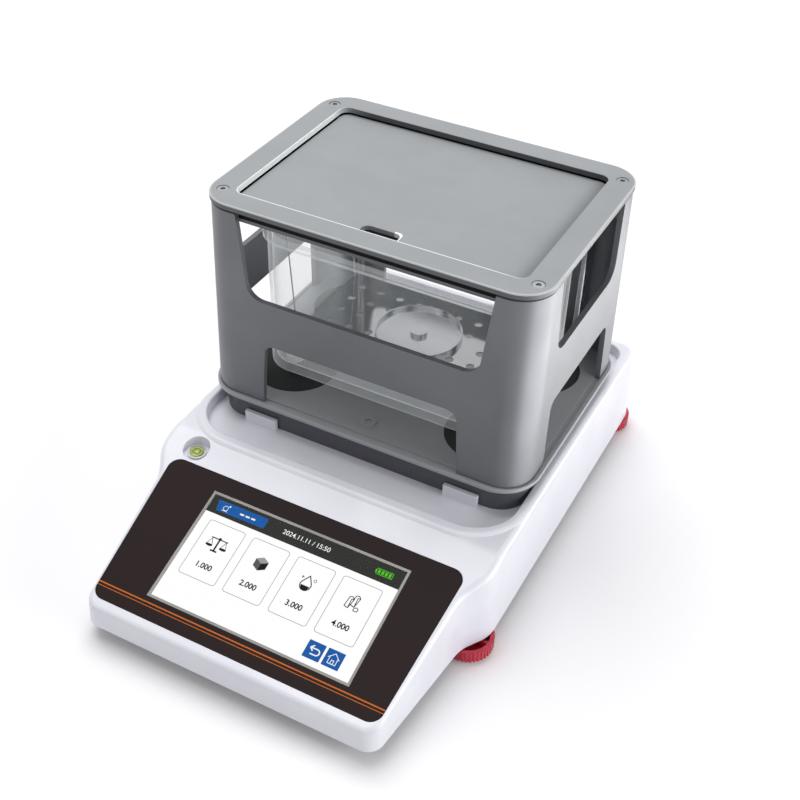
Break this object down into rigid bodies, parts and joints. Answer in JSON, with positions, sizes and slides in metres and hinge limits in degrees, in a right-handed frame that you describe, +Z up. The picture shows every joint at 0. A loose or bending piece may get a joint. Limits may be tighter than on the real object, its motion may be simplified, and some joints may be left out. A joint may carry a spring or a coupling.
{
  "type": "benchtop density meter",
  "caption": "Benchtop density meter: sloping touch screen console, splash tray with a clear immersion tank and weighing bracket, under a lift-off draft shield with hinged flap.",
  "frame": {"origin": "on the table under the middle of the bounding box", "axes": "+Z up, +Y to the back, +X to the right seen from the front"},
  "size_m": [0.282, 0.416, 0.2536],
  "materials": {
    "housing_paint": "satin moulded housing",
    "cover_plastic": "fine grain",
    "shield_metal": "fine textured grey paint",
    "lid_metal": "fine textured light grey paint",
    "tray_metal": "fine textured grey paint",
    "overlay_film": "smooth printed film",
    "bezel_plastic": "smooth",
    "screen_glass": "clear flat glass",
    "display_module": "lit display face",
    "circuit_board": "solder mask",
    "steel": "plain machined",
    "mirror_steel": "polished",
    "aluminium": "machined",
    "brass": "turned",
    "chrome": "polished",
    "foot_red": "moulded, knurled rim",
    "rubber_black": "matt",
    "tank_clear": "clear moulded",
    "black_plastic": "smooth",
    "vial_green": "tinted liquid",
    "battery_wrap": "heat shrunk wrap"
  },
  "bodies": {
    "housing": {"upper_housing": "housing_paint", "bottom_cover": "cover_plastic", "rear_panel": "cover_plastic", "splash_tray": "tray_metal", "touch_overlay": "overlay_film", "screen_bezel": "bezel_plastic", "screen_glass": "screen_glass", "lcd_panel": "display_module", "display_board": "circuit_board", "main_board": "circuit_board", "cover_screws": "steel", "display_screws": "steel", "display_straps": "steel", "inner_screws": "steel", "cell_base_screws": "steel", "overload_stops": "steel", "battery_strap": "steel", "tray_screws": "steel", "serial_port": "steel", "level_ring": "chrome", "load_cell": "aluminium", "load_cell_base": "aluminium", "foot_inserts": "brass", "tank_pads": "rubber_black", "tank_feet": "rubber_black", "water_tank": "tank_clear", "dc_jack": "black_plastic", "switch_frame": "black_plastic", "tank_rings": "black_plastic", "level_vial": "vial_green", "battery_pack": "battery_wrap"},
    "shield": {"draft_shield": "shield_metal", "lid_seal": "rubber_black", "lid_plate": "lid_metal", "lid_inner_frame": "tray_metal", "lid_screws": "steel", "hinge_pins": "steel"},
    "flap": {"lid_flap": "lid_metal"},
    "weigher": {"weigh_frame": "steel", "cell_frame_screws": "steel", "weigh_risers": "steel", "measuring_bracket": "steel", "upper_pan": "mirror_steel", "pan_hangers": "steel", "sink_plate": "mirror_steel", "sink_dish": "chrome"},
    "rocker": {"switch_rocker": "black_plastic"},
    "pad_front_left": {"foot_pad_front_left": "rubber_black"},
    "wheel_front_left": {"foot_wheel_front_left": "foot_red", "foot_stud_front_left": "steel"},
    "pad_front_right": {"foot_pad_front_right": "rubber_black"},
    "wheel_front_right": {"foot_wheel_front_right": "foot_red", "foot_stud_front_right": "steel"},
    "pad_rear_left": {"foot_pad_rear_left": "rubber_black"},
    "wheel_rear_left": {"foot_wheel_rear_left": "foot_red", "foot_stud_rear_left": "steel"},
    "pad_rear_right": {"foot_pad_rear_right": "rubber_black"},
    "wheel_rear_right": {"foot_wheel_rear_right": "foot_red", "foot_stud_rear_right": "steel"}
  },
  "joints": [
    {"name": "shield_lift", "type": "slide", "parent": "housing", "child": "shield", "axis": [0, 0, 1], "range_m": [0, 0.17]},
    {"name": "flap_hinge", "type": "hinge", "parent": "shield", "child": "flap", "pos_m": [0, 0.13194, 0.246], "axis": [-1, 0, 0], "range_deg": [0, 90]},
    {"name": "weigh_slide", "type": "slide", "parent": "housing", "child": "weigher", "axis": [0, 0, 1], "range_m": [-0.0003, 0], "stiffness_N_per_m": 20000, "springref_m": 0.001},
    {"name": "power_rocker", "type": "hinge", "parent": "housing", "child": "rocker", "pos_m": [0.0407, 0.19505, 0.0356], "axis": [-1, 0, 0], "range_deg": [0, 16]},
    {"name": "foot_slide_front_left", "type": "slide", "parent": "housing", "child": "pad_front_left", "axis": [0, 0, 1], "range_m": [-0.006, 0]},
    {"name": "foot_turn_front_left", "type": "hinge", "parent": "pad_front_left", "child": "wheel_front_left", "pos_m": [-0.1225, -0.088, 0], "axis": [0, 0, 1], "range_deg": [-1728, 0]},
    {"name": "foot_slide_front_right", "type": "slide", "parent": "housing", "child": "pad_front_right", "axis": [0, 0, 1], "range_m": [-0.006, 0]},
    {"name": "foot_turn_front_right", "type": "hinge", "parent": "pad_front_right", "child": "wheel_front_right", "pos_m": [0.1225, -0.088, 0], "axis": [0, 0, 1], "range_deg": [-1728, 0]},
    {"name": "foot_slide_rear_left", "type": "slide", "parent": "housing", "child": "pad_rear_left", "axis": [0, 0, 1], "range_m": [-0.006, 0]},
    {"name": "foot_turn_rear_left", "type": "hinge", "parent": "pad_rear_left", "child": "wheel_rear_left", "pos_m": [-0.121, 0.1895, 0], "axis": [0, 0, 1], "range_deg": [-1728, 0]},
    {"name": "foot_slide_rear_right", "type": "slide", "parent": "housing", "child": "pad_rear_right", "axis": [0, 0, 1], "range_m": [-0.006, 0]},
    {"name": "foot_turn_rear_right", "type": "hinge", "parent": "pad_rear_right", "child": "wheel_rear_right", "pos_m": [0.121, 0.1895, 0], "axis": [0, 0, 1], "range_deg": [-1728, 0]}
  ],
  "couplings": [
    {"joint": "foot_turn_front_left", "follows": "foot_slide_front_left", "rad_per_m": 5026.5},
    {"joint": "foot_turn_front_right", "follows": "foot_slide_front_right", "rad_per_m": 5026.5},
    {"joint": "foot_turn_rear_left", "follows": "foot_slide_rear_left", "rad_per_m": 5026.5},
    {"joint": "foot_turn_rear_right", "follows": "foot_slide_rear_right", "rad_per_m": 5026.5}
  ]
}
